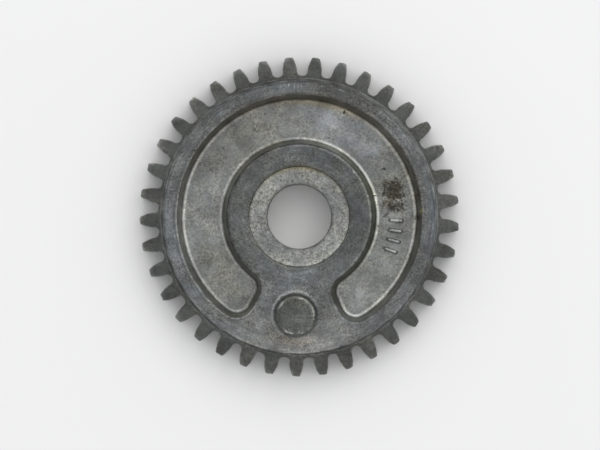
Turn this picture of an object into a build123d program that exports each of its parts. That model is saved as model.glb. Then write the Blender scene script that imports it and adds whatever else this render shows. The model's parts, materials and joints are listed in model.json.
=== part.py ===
from build123d import *
from math import cos, pi, radians, sin, sqrt, tan
import os

os.makedirs("parts", exist_ok=True)

# Oscillating gear of a spinning reel, cast in one piece in zinc alloy: a toothed band,
# a raised disc with a C-shaped pocket, a hub with a bore, and a crank pin.
# Millimetres, +Z up. The origin is on the bore's axis, in the plane of the underside.
# The crank pin stands towards -Y.

# Teeth
pitch_diameter = 29.36875  # 37 teeth at a standard 32 teeth for each inch of diameter
tooth_count = 37
pressure_angle = 14.5
tooth_width = 3.2  # along the axis, from the underside
tooth_clearance = 0.2  # the root's extra depth beyond one module
tooth_phase = 1.0  # degrees from the pin's side of the bore to the nearest tooth
tooth_overlap = 0.4  # how far a tooth's blank reaches inside the root circle
root_fillet = 0.45
root_fillet_share = 0.9  # of a full round of the gap, which is the most that fits
tip_round = 0.12

# Raised disc
disc_ledge = 0.34  # from the root circle in to the disc's foot
disc_rise = 1.3  # face above the teeth
disc_draft = 9.0
disc_edge_round = 0.1

# Hub and bore
bore_radius = 3.1
bore_chamfer = 0.12
hub_wall = 1.73  # from the bore to the hub's outside
hub_rise = 0.35  # above the disc's face
hub_chamfer = 0.06

# Pocket, open upwards, with the land round the hub inside it and the rim outside it
land_width = 2.19
rim_width = 1.34
pocket_depth = 2.1
pocket_draft = 11.0
pocket_inner_corner = 1.6
pocket_outer_corner = 1.85
inner_corner_share = 0.36  # of the pocket's width, which is the most that the end wall has room for
outer_corner_share = 0.44
pocket_floor_fillet = 0.35
pocket_mouth_round = 0.25
bridge_angle = 24.8  # degrees from the pin's middle to each end wall of the pocket

# Crank pin, on the middle of the bridge that the pocket leaves
pin_radius = 2.0
pin_height = 3.2  # above the disc's face
pin_top_round = 0.3
pin_foot_fillet = 0.22

# Plain raised tally bars along the middle of the pocket's floor
bar_count = 4
bar_length = 1.3
bar_width = 0.28
bar_rise = 0.16
bar_first_angle = -18.0  # degrees from +X
bar_angle_step = 6.0

tooth_module = pitch_diameter / tooth_count
pitch_radius = pitch_diameter / 2
tip_radius = pitch_radius + tooth_module
root_radius = pitch_radius - tooth_module - tooth_clearance
base_radius = pitch_radius * cos(radians(pressure_angle))
involute_of_pressure = tan(radians(pressure_angle)) - radians(pressure_angle)
half_tooth_at_base = pi / (2 * tooth_count) + involute_of_pressure

# Below the base circle the sides are radial, so the gap is as wide in angle at its root.
half_gap_sine = sin(pi / tooth_count - half_tooth_at_base)
full_root_round = root_radius * half_gap_sine / (1 - half_gap_sine)
root_round = min(root_fillet, root_fillet_share * full_root_round)

disc_foot_radius = root_radius - disc_ledge
disc_radius = disc_foot_radius - disc_rise * tan(radians(disc_draft))
hub_radius = bore_radius + hub_wall
pocket_inner_radius = hub_radius + land_width
pocket_outer_radius = disc_radius - rim_width
pocket_middle_radius = (pocket_inner_radius + pocket_outer_radius) / 2
pocket_width = pocket_outer_radius - pocket_inner_radius
inner_corner = min(pocket_inner_corner, inner_corner_share * pocket_width)
outer_corner = min(pocket_outer_corner, outer_corner_share * pocket_width)
pin_offset = pocket_middle_radius  # from the bore's axis, which is half of the stroke

face_height = tooth_width + disc_rise
floor_height = face_height - pocket_depth
hub_height = face_height + hub_rise


def flank_points(side, steps=6):
    """Points of an involute flank of a tooth on +X, from the base circle to the tip circle."""
    roll_at_tip = sqrt((tip_radius / base_radius) ** 2 - 1)
    points = []
    for step in range(steps):
        roll = roll_at_tip * step / (steps - 1)
        along = base_radius * (cos(roll) + roll * sin(roll))
        across = base_radius * (sin(roll) - roll * cos(roll))
        x = along * cos(half_tooth_at_base) + across * sin(half_tooth_at_base)
        y = along * sin(half_tooth_at_base) - across * cos(half_tooth_at_base)
        points.append((x, side * y))
    return points


# One tooth on +X: two involute flanks, then straight sides down into the root circle.
side_length = base_radius - min(root_radius, base_radius) + tooth_overlap
with BuildSketch() as tooth:
    with BuildLine():
        upper_flank = Spline(*flank_points(1))
        lower_flank = Spline(*flank_points(-1))
        ThreePointArc(upper_flank @ 1, (tip_radius, 0), lower_flank @ 1)
        upper_side = PolarLine(upper_flank @ 0, side_length, direction=-(upper_flank @ 0))
        lower_side = PolarLine(lower_flank @ 0, side_length, direction=-(lower_flank @ 0))
        Line(upper_side @ 1, lower_side @ 1)
    make_face()
    tip_corners = tooth.vertices().sort_by(Axis.X)[-2:]
    fillet(tip_corners, tip_round)

with BuildSketch() as gear_outline:
    first_tooth_angle = tooth_phase - 90
    with PolarLocations(0, 1, start_angle=first_tooth_angle):
        Circle(root_radius)
    with PolarLocations(0, tooth_count, start_angle=first_tooth_angle):
        add(tooth.sketch)
    # Each tooth meets the root circle at two corners, which are the nearest to the middle.
    root_corners = gear_outline.vertices().sort_by_distance((0, 0, 0))[: 2 * tooth_count]
    fillet(root_corners, root_round)

# The hollow of the pocket: a ring less the bridge's sector, drafted, with a round floor edge.
with BuildPart() as pocket:
    with BuildSketch(Plane.XY.offset(face_height)) as pocket_mouth:
        Circle(pocket_outer_radius)
        Circle(pocket_inner_radius, mode=Mode.SUBTRACT)
        with BuildLine():
            far_side = -disc_foot_radius
            half_width = disc_foot_radius * tan(radians(bridge_angle))
            Polyline((0, 0), (half_width, far_side), (-half_width, far_side), close=True)
        make_face(mode=Mode.SUBTRACT)
        # The lowest two corners are the outer ones, and the next two the inner ones.
        fillet(pocket_mouth.vertices().sort_by(Axis.Y)[2:4], inner_corner)
        fillet(pocket_mouth.vertices().sort_by(Axis.Y)[:2], outer_corner)
    extrude(amount=-pocket_depth, taper=pocket_draft)
    fillet(pocket.faces().sort_by(Axis.Z)[0].edges(), pocket_floor_fillet)

# The teeth stand from the underside, and the disc, hub and pin are stacked on them.
with BuildPart() as oscillating_gear:
    add(gear_outline.sketch)
    extrude(amount=tooth_width)

    with BuildSketch(Plane.XY.offset(tooth_width)):
        Circle(disc_foot_radius)
    extrude(amount=disc_rise, taper=disc_draft)
    add(pocket.part, mode=Mode.SUBTRACT)

    # The pocket's mouth and the disc's edge, where the casting's corners are worn round
    disc_face = oscillating_gear.faces().filter_by(Axis.Z).sort_by(Axis.Z)[-1]
    fillet(disc_face.inner_wires()[0].edges(), pocket_mouth_round)
    disc_face = oscillating_gear.faces().filter_by(Axis.Z).sort_by(Axis.Z)[-1]
    fillet(disc_face.outer_wire().edges(), disc_edge_round)

    # Hub, whose face takes the thrust
    with BuildSketch(Plane.XY.offset(face_height)):
        Circle(hub_radius)
    extrude(amount=hub_rise)
    chamfer(oscillating_gear.faces().sort_by(Axis.Z)[-1].edges(), hub_chamfer)

    # Crank pin, with a filleted foot and a rounded end
    with BuildSketch(Plane.XY.offset(face_height)):
        with Locations((0, -pin_offset)):
            Circle(pin_radius)
    extrude(amount=pin_height)
    fillet(oscillating_gear.edges(Select.LAST).sort_by(Axis.Z)[0], pin_foot_fillet)
    fillet(oscillating_gear.faces().sort_by(Axis.Z)[-1].edges(), pin_top_round)

    # Tally bars on the pocket's floor
    with BuildSketch(Plane.XY.offset(floor_height)):
        for bar in range(bar_count):
            bar_angle = bar_first_angle + bar * bar_angle_step
            with PolarLocations(pocket_middle_radius, 1, start_angle=bar_angle):
                Rectangle(bar_length, bar_width)
    extrude(amount=bar_rise)

    # Bore, right through, with its upper edge broken
    with BuildSketch():
        Circle(bore_radius)
    extrude(amount=hub_height, mode=Mode.SUBTRACT)
    chamfer(oscillating_gear.edges(Select.LAST).sort_by(Axis.Z)[-1], bore_chamfer)

oscillating_gear.part.label = "oscillating_gear"
export_step(oscillating_gear.part, "parts/oscillating_gear.step")
print(f"oscillating gear: {oscillating_gear.part.volume:.1f} mm3")
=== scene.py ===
import json
import math
import bmesh
import bpy
import numpy as np
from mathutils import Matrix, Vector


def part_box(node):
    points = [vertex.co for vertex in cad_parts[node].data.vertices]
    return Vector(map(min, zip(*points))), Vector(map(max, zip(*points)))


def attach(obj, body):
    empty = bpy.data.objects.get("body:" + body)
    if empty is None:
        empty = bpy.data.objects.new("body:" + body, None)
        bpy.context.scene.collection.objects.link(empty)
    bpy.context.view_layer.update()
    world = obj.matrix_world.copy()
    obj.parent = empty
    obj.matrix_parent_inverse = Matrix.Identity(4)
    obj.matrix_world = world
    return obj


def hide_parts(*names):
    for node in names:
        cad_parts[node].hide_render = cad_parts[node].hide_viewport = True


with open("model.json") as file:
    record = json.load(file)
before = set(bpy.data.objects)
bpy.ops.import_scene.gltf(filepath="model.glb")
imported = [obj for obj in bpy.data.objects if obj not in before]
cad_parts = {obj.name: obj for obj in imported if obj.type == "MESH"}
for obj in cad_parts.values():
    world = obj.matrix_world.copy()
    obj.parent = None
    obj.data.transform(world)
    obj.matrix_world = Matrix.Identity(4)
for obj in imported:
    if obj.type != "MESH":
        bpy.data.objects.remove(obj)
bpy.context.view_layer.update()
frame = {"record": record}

# The oscillating gear, one zinc casting, worked out in millimetres round the bore's axis.
# Angles run anticlockwise from the crank pin's side, which is -Y, and heights from the underside.
mounts = {mount["name"]: mount for mount in frame["record"]["mounts"]}
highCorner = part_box("oscillating_gear")[1]
metre = 0.001  # one millimetre in Blender's units
print("frame loaded")

teeth = {
    "count": 37,
    "pitchDiameter": 29.36875,
    "pressureAngle": 14.5,
    "clearance": 0.2,
    "phase": 1.0,  # degrees from the pin's side to the nearest tooth
    "width": 3.2,
    "rootFillet": 0.45,
    "tipRound": 0.20,
    "edgeRound": 0.05,  # along the flanks' upper and lower edges
    "tipEdgeRound": 0.15,  # along the tips' upper and lower edges
    "rolls": 4000,  # places along the involute where the tip fillet's start is looked for
    "steps": (2, 5, 1, 5, 3, 2),  # root, root fillet, side, involute, tip fillet, tip
    "edgeSteps": (4, 5, 2),  # upper round, flank, lower round
    "faceShares": (0, 0.12, 0.3, 0.55, 0.8, 1),  # rows of the upper face, from the disc out
}
disc = {
    "rise": 1.3,
    "ledge": 0.34,  # from the root circle in to the disc's foot
    "draft": 9.0,
    "edgeRound": 0.09,  # below the pin, where the edge is crisp
    "wornRound": 0.45,  # on the far side, where it is worn down
    "wornRate": 1.6,  # the edge is worn by 0.5 - 0.5 cos(rate |angle| - delay), in radians
    "wornDelay": 0.9,
    "footFillet": 0.08,
    "ledgeRing": 0.03,  # from the foot out to the ring where the toothed band begins
    "steps": (6, 4, 3),  # edge, side, foot
}
hub = {
    "wall": 1.73,
    "rise": 0.35,
    "edgeRound": 0.06,
    "boreRound": 0.12,
    "underRound": 0.06,  # at the bore's lower edge
    "footFillet": 0.05,
    "steps": (3, 4, 9, 4, 8, 2),  # foot, edge, face, bore's upper round, bore, lower round
}
pocket = {
    "land": 2.19,  # from the hub out to the pocket's mouth
    "rim": 1.34,  # from the pocket's mouth out to the disc's edge
    "depth": 2.1,
    "draft": 11.0,
    "mouthRound": 0.25,
    "floorFillet": 0.35,
    "endAngle": 24.8,
    "innerCorner": 1.6,
    "outerCorner": 1.85,
    "steps": (6, 6, 7, 4),  # mouth round, wall, floor fillet, floor's edge
}
pin = {
    "topRound": 0.37,
    "footFillet": 0.22,
    "pole": 0.12,  # radius of the fan that closes its end
    "steps": (5, 7, 10, 8),  # foot, side, top round, end
}
bars = {
    "angles": (72.0, 78.0, 84.0, 90.0),
    "length": 1.3,
    "width": 0.28,
    "rise": 0.16,
    "slope": 0.06,  # width of a bar's sloping side
    "marks": (1, 0.33, -0.33, -1),  # columns on a bar's slope, in halves of its width
    "clear": 1.3,  # the even columns keep this many half widths away from a bar's middle
}
meshSteps = {
    "around": 268,
    "end": 40,
    "land": 11,
    "rim": 7,
    "bridge": 18,
    "bridgeCrowding": 1.6,  # how much closer the bridge's rows are near the pin
    "under": 10,
    "underRing": 0.35,  # width of the underside's ring with a fan of triangles
    "hubArc": 26,
    "edgeArc": 64,
    "coreTurn": 1.5,  # degrees past the inner corner where the floor's even columns start
    "landCut": 5,  # steps of the pocket's end that the land's patch takes
    "rimCut": 11,  # steps of the pocket's end that the rim's patch takes
    "floorCut": 8,  # steps of each corner that go with the floor's long sides
}

toothModule = teeth["pitchDiameter"] / teeth["count"]
pitchRadius = teeth["pitchDiameter"] / 2
tipRadius = pitchRadius + toothModule
rootRadius = pitchRadius - toothModule - teeth["clearance"]
baseRadius = pitchRadius * math.cos(math.radians(teeth["pressureAngle"]))
boreRadius = mounts["bore"]["dims"]["r_mm"]
hubRadius = boreRadius + hub["wall"]
discFootRadius = rootRadius - disc["ledge"]
discRadius = discFootRadius - disc["rise"] * math.tan(math.radians(disc["draft"]))
mouthInner = hubRadius + pocket["land"]
mouthOuter = discRadius - pocket["rim"]
middleRadius = (mouthInner + mouthOuter) / 2
pinRadius = mounts["crank_pin"]["dims"]["r_mm"]
pinCentre = np.array([0.0, -middleRadius])
faceHeight = teeth["width"] + disc["rise"]
floorHeight = faceHeight - pocket["depth"]
hubHeight = faceHeight + hub["rise"]
pinHeight = highCorner.z / metre
supportGap = 0.04  # a narrow row beside each round, which keeps the flat face flat


# A point at that radius and angle: x = radius sin(angle), y = -radius cos(angle)
def polar(radius, angle):
    return np.stack([radius * np.sin(angle), -radius * np.cos(angle)], axis=-1)


# The angle of points along a line, in step with its start: atan2(x, -y)
def angleAlong(line):
    return np.unwrap(np.arctan2(line[:, 0], -line[:, 1]))


# An arc of a section, with its steps equal in angle: centre + radius (cos, sin)
def arc(centre, radius, start, end, steps):
    turn = np.radians(np.linspace(start, end, steps + 1))
    return np.stack([centre[0] + radius * np.cos(turn), centre[1] + radius * np.sin(turn)], axis=-1)


# A straight of a section, with even steps
def straight(start, end, steps):
    share = np.linspace(0, 1, steps + 1)[:, None]
    return np.asarray(start) * (1 - share) + np.asarray(end) * share


# A round between two straights of a section, given its sharp corner, the directions in degrees of
# its first and last normals, and its steps
def corner(point, radius, start, end, steps):
    half = math.radians((start + end) / 2)
    reach = radius / math.cos(math.radians((end - start) / 2))
    centre = (point[0] - reach * math.cos(half), point[1] - reach * math.sin(half))
    return arc(centre, radius, start, end, steps)


# A section carried along a path: row k is the path moved offset k along its normals, at height k.
# The section may differ from column to column.
def carried(path, normals, profile):
    profile = profile[:, None] if profile.ndim == 2 else profile
    flat = path[None] + profile[..., :1] * normals[None]
    height = np.broadcast_to(profile[..., 1:], flat.shape[:2] + (1,))
    return np.concatenate([flat, height], axis=-1)


# Rows between two lines of points: row k lies shares[k] of the way from the first to the second
def ruled(first, second, shares):
    share = np.asarray(shares, float)[:, None, None]
    return first[None] * (1 - share) + second[None] * share


# Gives flat points a height
def raised(flat, height):
    return np.concatenate([flat, np.full(flat.shape[:-1] + (1,), float(height))], axis=-1)


patches = []


# Keeps a grid of points as quads; a wrapped grid also joins its last column to its first
def addGrid(points, zone, wrapped=False):
    rows, columns = points.shape[:2]
    index = np.arange(rows * columns).reshape(rows, columns)
    if wrapped:
        index = np.concatenate([index, index[:, :1]], axis=1)
    quads = np.stack([index[:-1, :-1], index[:-1, 1:], index[1:, 1:], index[1:, :-1]], axis=-1)
    patches.append((points.reshape(-1, 3), quads.reshape(-1, 4), zone))


# Fills the flat ring between two closed loops that have different numbers of points. Each edge of
# the outer loop goes to the inner point nearest in angle, and each inner edge to the outer point
# where that nearest point changes.
def addZip(outer, inner, zone):
    outerAngle = np.arctan2(outer[:, 0], -outer[:, 1])
    innerAngle = angleAlong(inner)
    middle = (innerAngle + np.append(innerAngle[1:], innerAngle[0] + 2 * np.pi)) / 2
    start = middle[-1] - 2 * np.pi
    outerAngle = (outerAngle - start) % (2 * np.pi) + start
    nearest = np.searchsorted(middle, outerAngle)
    order = np.argsort(outerAngle)
    change = order[np.searchsorted(outerAngle[order], middle) % len(outer)]
    here = np.arange(len(outer))
    there = np.arange(len(inner))
    fans = np.stack([here, np.roll(here, -1), len(outer) + nearest], axis=-1)
    gaps = np.stack([change, len(outer) + np.roll(there, -1), len(outer) + there], axis=-1)
    patches.append((np.concatenate([outer, inner]), np.concatenate([fans, gaps]), zone))


# Half of a tooth, whose middle is on +X, from the middle of the gap before it to the middle of its
# tip: root arc, root fillet, radial side, involute, tip fillet and tip arc, with outward normals
def halfTooth():
    pressure = math.radians(teeth["pressureAngle"])
    halfPitch = math.pi / teeth["count"]
    halfBase = halfPitch / 2 + math.tan(pressure) - pressure
    steps = teeth["steps"]
    fillet, tipFillet = teeth["rootFillet"], teeth["tipRound"]
    filletAngle = -halfBase - math.asin(fillet / (rootRadius + fillet))
    filletCentre = (rootRadius + fillet) * np.array([math.cos(filletAngle), math.sin(filletAngle)])
    sideStart = math.sqrt((rootRadius + fillet) ** 2 - fillet**2)

    # (cos turn, sin turn)
    def unit(turn):
        return np.stack([np.cos(turn), np.sin(turn)], axis=-1)

    # base radius (cos roll + roll sin roll, sin roll - roll cos roll), turned to the flank
    def involute(roll):
        along = baseRadius * (np.cos(roll) + roll * np.sin(roll))
        across = baseRadius * (np.sin(roll) - roll * np.cos(roll))
        x = along * math.cos(halfBase) + across * math.sin(halfBase)
        y = across * math.cos(halfBase) - along * math.sin(halfBase)
        return np.stack([x, y], axis=-1), unit(roll - math.pi / 2 - halfBase)

    rolls = np.linspace(0, math.sqrt((tipRadius / baseRadius) ** 2 - 1), teeth["rolls"])
    flank, flankNormal = involute(rolls)
    reach = np.linalg.norm(flank - tipFillet * flankNormal, axis=1)
    lastRoll = np.interp(tipRadius - tipFillet, reach, rolls)
    lastPoint, lastNormal = involute(np.array([lastRoll]))
    tipCentre = (lastPoint - tipFillet * lastNormal)[0]
    tipAngle = math.atan2(tipCentre[1], tipCentre[0])

    turn = np.linspace(-halfPitch, filletAngle, steps[0] + 1)
    runs = [(rootRadius * unit(turn), unit(turn))]
    turn = np.linspace(filletAngle, -halfBase - math.pi / 2, steps[1] + 1)
    runs.append((filletCentre - fillet * unit(turn), unit(turn)))
    radii = np.linspace(sideStart, baseRadius, steps[2] + 1)[:, None]
    sideNormal = unit(np.full(steps[2] + 1, -halfBase - math.pi / 2))
    runs.append((radii * unit(np.array([-halfBase])), sideNormal))
    runs.append(involute(np.linspace(0, lastRoll, steps[3] + 1)))
    turn = np.linspace(lastRoll - math.pi / 2 - halfBase, tipAngle, steps[4] + 1)
    runs.append((tipCentre + tipFillet * unit(turn), unit(turn)))
    turn = np.linspace(tipAngle, 0, steps[5] + 1)
    runs.append((tipRadius * unit(turn), unit(turn)))
    points = np.concatenate([run[0][1:] if k else run[0] for k, run in enumerate(runs)])
    normals = np.concatenate([run[1][1:] if k else run[1] for k, run in enumerate(runs)])
    return points, normals


# The band's outline: the half tooth and its mirror image, turned round the axis once for each tooth
def bandOutline():
    points, normals = halfTooth()
    mirror = np.array([1, -1])
    points = np.concatenate([points, (points * mirror)[-2:0:-1]])
    normals = np.concatenate([normals, (normals * mirror)[-2:0:-1]])
    turn = np.arange(teeth["count"]) * 2 * np.pi / teeth["count"]
    turn = turn + math.radians(teeth["phase"] - 90)
    spin = np.array([[np.cos(turn), np.sin(turn)], [-np.sin(turn), np.cos(turn)]])
    points = np.einsum("pi,ijt->tpj", points, spin).reshape(-1, 2)
    normals = np.einsum("pi,ijt->tpj", normals, spin).reshape(-1, 2)
    return points, normals


# The right-hand end of the pocket's mouth, from the outer arc round both corners to the inner arc.
# Normals point into the pocket; on the corners they turn evenly with the length.
def pocketEnd():
    wall = math.radians(pocket["endAngle"])
    inner, outer = pocket["innerCorner"], pocket["outerCorner"]
    innerAngle = wall + math.asin(inner / (mouthInner + inner))
    outerAngle = wall + math.asin(outer / (mouthOuter - outer))
    innerCentre = polar(mouthInner + inner, innerAngle)
    outerCentre = polar(mouthOuter - outer, outerAngle)
    wallStart = math.sqrt((mouthOuter - outer) ** 2 - outer**2)
    wallEnd = math.sqrt((mouthInner + inner) ** 2 - inner**2)
    outerTurn = outerAngle + math.pi / 2 - wall
    innerTurn = wall - (innerAngle - math.pi / 2)
    lengths = np.array([outer * outerTurn, wallStart - wallEnd, inner * innerTurn])
    ends = np.concatenate([[0], np.cumsum(lengths)])
    along = np.linspace(0, ends[-1], meshSteps["end"] + 1)
    turn = np.interp(along, ends, [outerAngle + math.pi / 2, wall, wall, innerAngle - math.pi / 2])
    normals = np.stack([np.cos(turn), np.sin(turn)], axis=-1)
    onOuter = outerCentre - outer * normals
    onWall = polar(np.interp(along, ends[1:3], [wallStart, wallEnd]), np.full(len(along), wall))
    onInner = innerCentre - inner * normals
    points = np.where((along < ends[1])[:, None], onOuter, onWall)
    points = np.where((along > ends[2])[:, None], onInner, points)
    return points, normals, innerAngle, outerAngle


endPoints, endNormals, innerAngle, outerAngle = pocketEnd()
wallRun = pocket["depth"] * math.tan(math.radians(pocket["draft"]))
halfRound = math.tan(math.radians(45 - pocket["draft"] / 2))
footRun = wallRun + pocket["floorFillet"] * halfRound  # from the mouth to the flat floor
coreGap = 0.45  # from the foot of the wall to the floor's middle grid
coreInner = mouthInner + footRun + coreGap
coreOuter = mouthOuter - footRun - coreGap
coreEnd = math.radians(pocket["endAngle"]) + math.asin((footRun + coreGap) / middleRadius)
coreStart = innerAngle + math.radians(meshSteps["coreTurn"])


# The columns of the pocket, land and rim, as shares of the way from one end of the pocket to the
# other: even steps, with closer ones where a bar's sides slope
def columnShares():
    even = np.linspace(0, 1, meshSteps["around"] + 1)
    span = 2 * (math.pi - coreStart)
    centres = (np.radians(bars["angles"]) - coreStart) / span
    edge = (bars["width"] + bars["slope"] * np.array(bars["marks"])) / 2
    offsets = np.concatenate([-edge, [0], edge]) / (middleRadius * span)
    clear = np.abs(even[:, None] - centres[None]).min(axis=1) > bars["clear"] * offsets.max()
    return np.unique(np.concatenate([even[clear], (centres[:, None] + offsets[None]).ravel()]))


# The rows of the floor's middle, with closer ones where the bars end
def rowRadii():
    edge = (bars["length"] + bars["slope"] * np.array([1, 0, -1])) / 2
    marks = middleRadius + np.concatenate([-edge, edge])
    even = np.linspace(coreInner, coreOuter, meshSteps["end"] - 2 * meshSteps["floorCut"] + 1)
    clear = np.abs(even[:, None] - marks[None]).min(axis=1)
    kept = np.sort(np.argsort(clear)[len(marks):])
    return np.sort(np.concatenate([even[kept], marks]))


shares = columnShares()
radii = rowRadii()
count = len(shares)
endSteps = meshSteps["end"]
innerAngles = innerAngle + shares * 2 * (math.pi - innerAngle)
outerAngles = outerAngle + shares * 2 * (math.pi - outerAngle)
flip = np.array([-1.0, 1.0])

# The mouth's closed line: inner arc, left end, outer arc back, right end
mouthLine = np.concatenate([
    polar(mouthInner, innerAngles),
    (endPoints * flip)[::-1][1:],
    polar(mouthOuter, outerAngles)[::-1][1:],
    endPoints[1:-1],
])
mouthNormals = np.concatenate([
    polar(1.0, innerAngles),
    (endNormals * flip)[::-1][1:],
    -polar(1.0, outerAngles)[::-1][1:],
    endNormals[1:-1],
])
mouthCount = len(mouthLine)


# Part of a closed line, from one index to another, which may run past its ends
def lineRun(line, first, last):
    return np.take(line, np.arange(first, last + 1), axis=0, mode="wrap")


# The pocket's section: mouth round, drafted wall and floor fillet, from the face to the floor
wallTurn = 180 + pocket["draft"]
mouthSteps, wallSteps, filletSteps, floorSteps = pocket["steps"]
mouthArc = corner((0.0, faceHeight), -pocket["mouthRound"], 270, wallTurn, mouthSteps)
footArc = corner((wallRun, floorHeight), pocket["floorFillet"], wallTurn, 270, filletSteps)
mouthRows = np.concatenate([[mouthArc[0] - [supportGap, 0]], mouthArc])
wallRows = straight(mouthArc[-1], footArc[0], wallSteps)[1:]
wallGrid = carried(mouthLine, mouthNormals, np.concatenate([mouthRows, wallRows]))
footGrid = carried(mouthLine, mouthNormals, footArc)
addGrid(wallGrid[:len(mouthRows)], "mouth", wrapped=True)
addGrid(wallGrid[len(mouthRows) - 1:], "wall", wrapped=True)
addGrid(footGrid, "foot", wrapped=True)
mouthTop = wallGrid[0]

# The floor's middle grid, and the ring of rows that joins it to the foot of the wall
cut = meshSteps["floorCut"]
startAngles = np.linspace(coreEnd, coreStart, cut + 1)[:-1]
coreAngles = coreStart + shares * 2 * (math.pi - coreStart)
coreAngles = np.concatenate([startAngles, coreAngles, (2 * np.pi - startAngles)[::-1]])
coreGrid = polar(radii[:, None], coreAngles[None])
coreEnds = coreGrid[1:, -1], coreGrid[::-1, 0][1:-1]
coreLine = np.concatenate([coreGrid[0], coreEnds[0], coreGrid[-1, ::-1][1:], coreEnds[1]])
coreLine = raised(np.roll(coreLine, -cut, axis=0), floorHeight)
addGrid(ruled(footGrid[-1], coreLine, np.linspace(0, 1, floorSteps + 1)), "floor", wrapped=True)


# How far up its side a bar's edge is: 1 on the bar, 0 off it, and a smooth step on the slope
def slopeStep(distance, half):
    share = np.clip((half + bars["slope"] / 2 - distance) / bars["slope"], 0, 1)
    return share * share * (3 - 2 * share)


# The bars rise from the floor where both the distance across and the distance along are small
def barRise(angles, distances):
    across = np.abs(angles[:, None] - np.radians(bars["angles"])[None]).min(axis=1) * middleRadius
    along = np.abs(distances - middleRadius)
    onBar = slopeStep(along, bars["length"] / 2)[:, None] * slopeStep(across, bars["width"] / 2)
    return bars["rise"] * onBar


corePoints = raised(coreGrid, floorHeight)
corePoints[..., 2] += barRise(coreAngles, radii)
addGrid(corePoints, "floor")

# The land inside the pocket and the rim outside it end at cuts across the pocket's corners, so that
# the bridge between them is seen whole from the pin
landCut, rimCut = meshSteps["landCut"], meshSteps["rimCut"]
landMouth = lineRun(mouthTop, -landCut, count - 1 + landCut)
rimMouth = lineRun(mouthTop, count - 1 + endSteps - rimCut, 2 * count - 2 + endSteps + rimCut)[::-1]
leftEnd = lineRun(mouthTop, count - 1 + landCut, count - 1 + endSteps - rimCut)
rightEnd = lineRun(mouthTop, 2 * count - 2 + endSteps + rimCut, mouthCount - landCut)
landAngles = angleAlong(landMouth)
rimAngles = angleAlong(rimMouth)
hubArc = 2 * np.pi + np.linspace(-landAngles[0], landAngles[0], meshSteps["hubArc"] + 1)[1:-1]
edgeArc = 2 * np.pi + np.linspace(-rimAngles[0], rimAngles[0], meshSteps["edgeArc"] + 1)[1:-1]

# The hub's section, from the land up, over its face and down the bore to the underside
hubFoot = hubRadius + hub["footFillet"]
hubEdge, bite, underRound = hub["edgeRound"], hub["boreRound"], hub["underRound"]
hubSteps = hub["steps"]
hubSide = np.concatenate([
    [(hubFoot + supportGap, faceHeight)],
    arc((hubFoot, faceHeight + hub["footFillet"]), hub["footFillet"], 270, 180, hubSteps[0]),
    arc((hubRadius - hubEdge, hubHeight - hubEdge), hubEdge, 0, 90, hubSteps[1]),
    [(hubRadius - hubEdge - supportGap, hubHeight)],
])
hubFace = straight(hubSide[-1], (boreRadius + bite + supportGap, hubHeight), hubSteps[2])
boreSide = np.concatenate([
    hubFace[-1:],
    arc((boreRadius + bite, hubHeight - bite), bite, 90, 180, hubSteps[3]),
    straight((boreRadius, hubHeight - bite), (boreRadius, underRound), hubSteps[4])[1:-1],
    arc((boreRadius + underRound, underRound), underRound, 180, 270, hubSteps[5]),
])
hubAngles = np.concatenate([landAngles, hubArc])
hubNormals = polar(1.0, hubAngles)
axisLine = np.zeros_like(hubNormals)
hubGrid = carried(axisLine, hubNormals, hubSide)
boreGrid = carried(axisLine, hubNormals, boreSide)
addGrid(hubGrid, "hubSide", wrapped=True)
addGrid(carried(axisLine, hubNormals, hubFace), "hub", wrapped=True)
addGrid(boreGrid, "bore", wrapped=True)

# The disc's section, from the rim over its edge and down its drafted side to the ledge. The edge is
# crisp below the pin and worn round elsewhere.
discAngles = np.concatenate([rimAngles, edgeArc])
fromPin = np.abs((discAngles + np.pi) % (2 * np.pi) - np.pi)
blunting = 0.5 - 0.5 * np.cos(np.clip(fromPin * disc["wornRate"] - disc["wornDelay"], 0, np.pi))


# The section with that radius on its edge: edge round, drafted side and foot fillet
def discSection(edge):
    draft, steps = disc["draft"], disc["steps"]
    top = corner((discRadius, faceHeight), edge, 90, draft, steps[0])
    base = corner((discFootRadius, teeth["width"]), -disc["footFillet"], draft, 90, steps[2])
    side = straight(top[-1], base[0], steps[1])[1:-1]
    return np.concatenate([[top[0] - [supportGap, 0]], top, side, base])


crisp, blunt = discSection(disc["edgeRound"]), discSection(disc["wornRound"])
discSide = crisp[:, None] * (1 - blunting[:, None]) + blunt[:, None] * blunting[:, None]
discNormals = polar(1.0, discAngles)
discGrid = carried(np.zeros_like(discNormals), discNormals, discSide)
addGrid(discGrid, "discSide", wrapped=True)

landGrid = ruled(hubGrid[0, :len(landMouth)], landMouth, np.linspace(0, 1, meshSteps["land"] + 1))
rimGrid = ruled(rimMouth, discGrid[0, :len(rimMouth)], np.linspace(0, 1, meshSteps["rim"] + 1))
addGrid(landGrid, "land")
addGrid(rimGrid, "rim")

# The bridge: rows from the pin's foot out to one closed line round the hub, both ends of the
# pocket and the disc's edge
bridgeLine = np.concatenate([
    landGrid[:, 0],
    rightEnd[::-1][1:],
    rimGrid[1:, 0],
    discGrid[0, len(rimMouth):][::-1],
    rimGrid[::-1, -1],
    leftEnd[::-1][1:],
    landGrid[::-1, -1][1:],
    hubGrid[0, len(landMouth):],
])
spokes = bridgeLine[:, :2] - pinCentre
spokes /= np.linalg.norm(spokes, axis=1, keepdims=True)
pinFoot, pinTop, pinSteps = pin["footFillet"], pin["topRound"], pin["steps"]
pinSide = np.concatenate([
    [(pinRadius + pinFoot + supportGap, faceHeight)],
    arc((pinRadius + pinFoot, faceHeight + pinFoot), pinFoot, 270, 180, pinSteps[0]),
    straight((pinRadius, faceHeight + pinFoot), (pinRadius, pinHeight - pinTop), pinSteps[1])[1:-1],
    arc((pinRadius - pinTop, pinHeight - pinTop), pinTop, 0, 90, pinSteps[2]),
])
pinFace = straight(pinSide[-1], (pin["pole"], pinHeight), pinSteps[3])
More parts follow.
